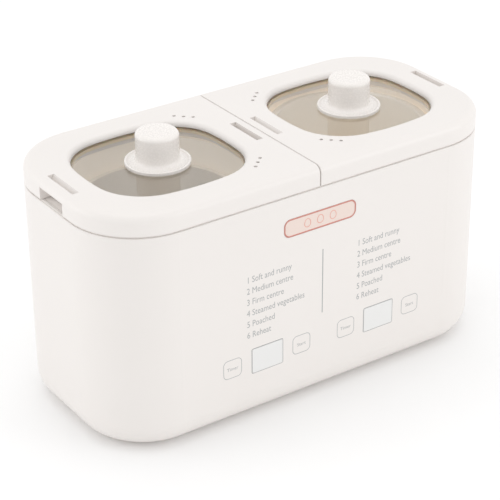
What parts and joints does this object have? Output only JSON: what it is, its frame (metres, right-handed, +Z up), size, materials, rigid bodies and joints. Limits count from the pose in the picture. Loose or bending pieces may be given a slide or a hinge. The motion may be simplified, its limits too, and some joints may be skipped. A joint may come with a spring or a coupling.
{
  "type": "egg cooker",
  "caption": "Benchtop egg cooker with a rounded cream casing, side-by-side wells holding lift-out pots, windowed lift-off lids with knobs, and a touch panel in front.",
  "frame": {"origin": "centre of the footprint, on the surface that the feet stand on", "axes": "+X along the long side towards the ceramic pot, -Y faces the user with the control panel, +Z up"},
  "size_m": [0.29, 0.1352, 0.1778],
  "materials": {
    "cream_shell": "satin moulded plastic",
    "cream_inner": "satin moulded plastic",
    "cream_knob": "soft gloss moulded plastic",
    "grey_cover": "fine matt texture",
    "foot_rubber": "matt",
    "silicone_seal": "translucent silicone",
    "clear_window": "clear, polished",
    "screw_steel": "zinc plated",
    "plate_aluminium": "satin",
    "heater_sheath": "heat tinted",
    "fuse_ceramic": "unglazed",
    "display_glass": "pale smoked, satin",
    "display_module": "matt",
    "pad_silicone": "matt",
    "badge_enamel": "enamel in a rose metal rim",
    "board_green": "solder mask",
    "part_black": "moulded",
    "pin_brass": "polished",
    "bowl_steel": "spun stainless",
    "bowl_ceramic": "gloss glaze"
  },
  "bodies": {
    "base": {"outer_shell": "cream_shell", "base_cover": "grey_cover", "rubber_feet": "foot_rubber", "base_screws": "screw_steel", "top_deck": "cream_inner", "deck_screws": "screw_steel", "well_left": "cream_inner", "plate_seal_left": "silicone_seal", "heating_plate_left": "plate_aluminium", "thermal_sensor_left": "heater_sheath", "heater_ring_left": "heater_sheath", "thermal_fuse_left": "fuse_ceramic", "heat_shield_left": "plate_aluminium", "display_left": "display_module", "display_lens_left": "display_glass", "well_right": "cream_inner", "plate_seal_right": "silicone_seal", "heating_plate_right": "plate_aluminium", "thermal_sensor_right": "heater_sheath", "heater_ring_right": "heater_sheath", "thermal_fuse_right": "fuse_ceramic", "heat_shield_right": "plate_aluminium", "display_right": "display_module", "display_lens_right": "display_glass", "touch_pads": "pad_silicone", "front_badge": "badge_enamel", "control_board": "board_green", "control_board_screws": "screw_steel", "buzzer": "part_black", "power_board": "board_green", "power_board_screws": "screw_steel", "relays": "part_black", "power_module": "part_black", "power_inlet": "part_black", "inlet_pins": "pin_brass"},
    "steel_pot": {"steel_pot": "bowl_steel"},
    "ceramic_pot": {"ceramic_pot": "bowl_ceramic"},
    "lid_left": {"lid_frame_left": "cream_shell", "lid_window_left": "clear_window", "window_gasket_left": "silicone_seal", "knob_left": "cream_knob", "knob_washer_left": "screw_steel", "knob_screw_left": "screw_steel"},
    "lid_right": {"lid_frame_right": "cream_shell", "lid_window_right": "clear_window", "window_gasket_right": "silicone_seal", "knob_right": "cream_knob", "knob_washer_right": "screw_steel", "knob_screw_right": "screw_steel"}
  },
  "joints": [
    {"name": "steel_pot_lift", "type": "slide", "parent": "base", "child": "steel_pot", "axis": [0, 0, 1], "range_m": [0, 0.13]},
    {"name": "ceramic_pot_lift", "type": "slide", "parent": "base", "child": "ceramic_pot", "axis": [0, 0, 1], "range_m": [0, 0.13]},
    {"name": "left_lid_lift", "type": "slide", "parent": "steel_pot", "child": "lid_left", "axis": [0, 0, 1], "range_m": [0, 0.06]},
    {"name": "right_lid_lift", "type": "slide", "parent": "ceramic_pot", "child": "lid_right", "axis": [0, 0, 1], "range_m": [0, 0.06]}
  ]
}
